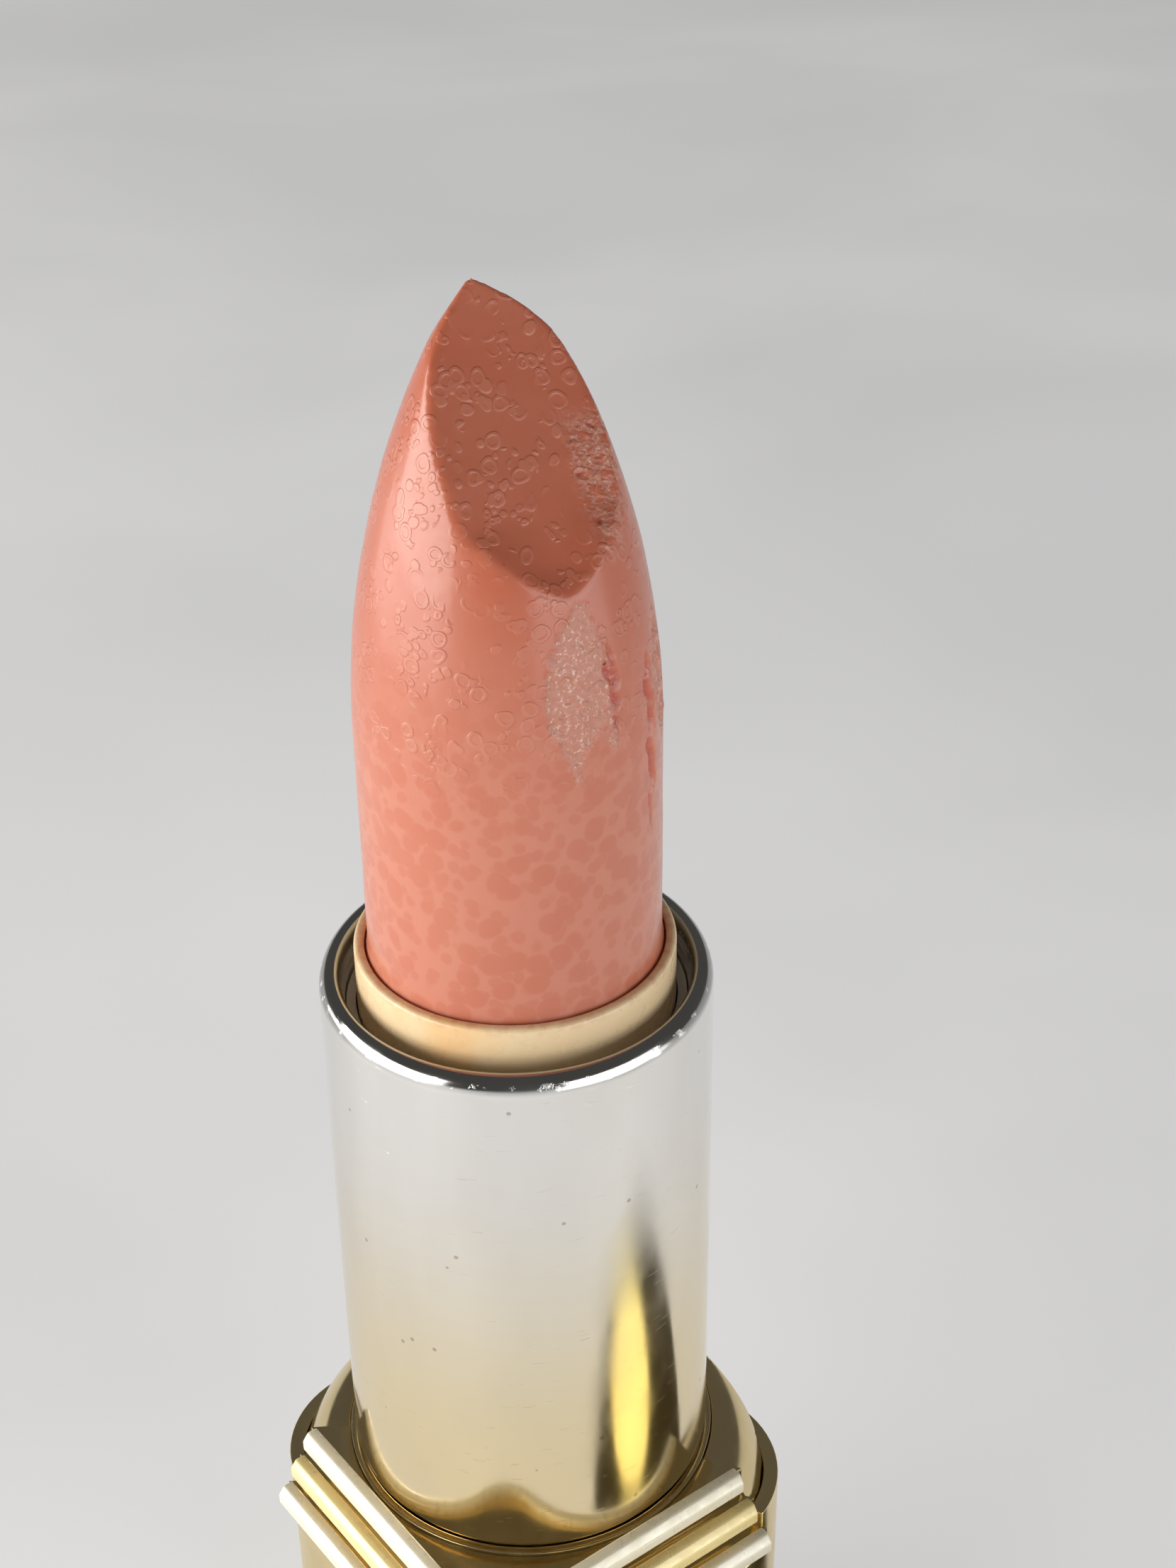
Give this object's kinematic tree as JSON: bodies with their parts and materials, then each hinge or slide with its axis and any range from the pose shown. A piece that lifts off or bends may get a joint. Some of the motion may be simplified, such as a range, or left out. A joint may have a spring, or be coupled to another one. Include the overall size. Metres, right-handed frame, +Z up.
{
  "type": "lipstick case",
  "caption": "Wind-up lipstick case with the bullet raised: a bright metal tube with a rolled lip, on a gold square base whose front corner is wrapped by cream and gold bars.",
  "frame": {"origin": "centre of the base's underside", "axes": "+Z up along the axis of the tube, -Y out through the front corner of the base, which carries the bars"},
  "size_m": [0.0234, 0.0253, 0.0795],
  "materials": {
    "gold_shell": "polished gold plate",
    "gold_shoulder": "polished gold plate",
    "cream_bar": "cream enamel",
    "gold_bar": "warm gold enamel",
    "bush": "bright turned edge",
    "liner": "moulded",
    "guide": "moulded",
    "silicone": "greased silicone",
    "weight": "zinc plated",
    "paper": "blank label",
    "tube_metal": "bright champagne plate, worn at the lip",
    "spiral": "moulded",
    "cup_plastic": "satin cream",
    "lipstick": "satin wax"
  },
  "bodies": {
    "base": {"base_shell": "gold_shell", "shoulder": "gold_shoulder", "upper_bar": "cream_bar", "middle_bar": "gold_bar", "lower_bar": "cream_bar", "collar_bush": "bush", "base_liner": "liner", "guide_tube": "guide", "upper_brake_ring": "silicone", "lower_brake_ring": "silicone", "base_weight": "weight", "bottom_plate": "gold_shell", "shade_label": "paper"},
    "sleeve": {"outer_tube": "tube_metal", "spiral_sleeve": "spiral"},
    "elevator": {"cup": "cup_plastic", "bullet": "lipstick"}
  },
  "joints": [
    {"name": "twist", "type": "hinge", "parent": "base", "child": "sleeve", "pos_m": [0, 0, 0.02], "axis": [0, 0, 1], "range_deg": [0, 540]},
    {"name": "lift", "type": "slide", "parent": "base", "child": "elevator", "axis": [0, 0, 1], "range_m": [-0.03, 0]}
  ],
  "couplings": [
    {"joint": "twist", "follows": "lift", "rad_per_m": -314.15}
  ]
}
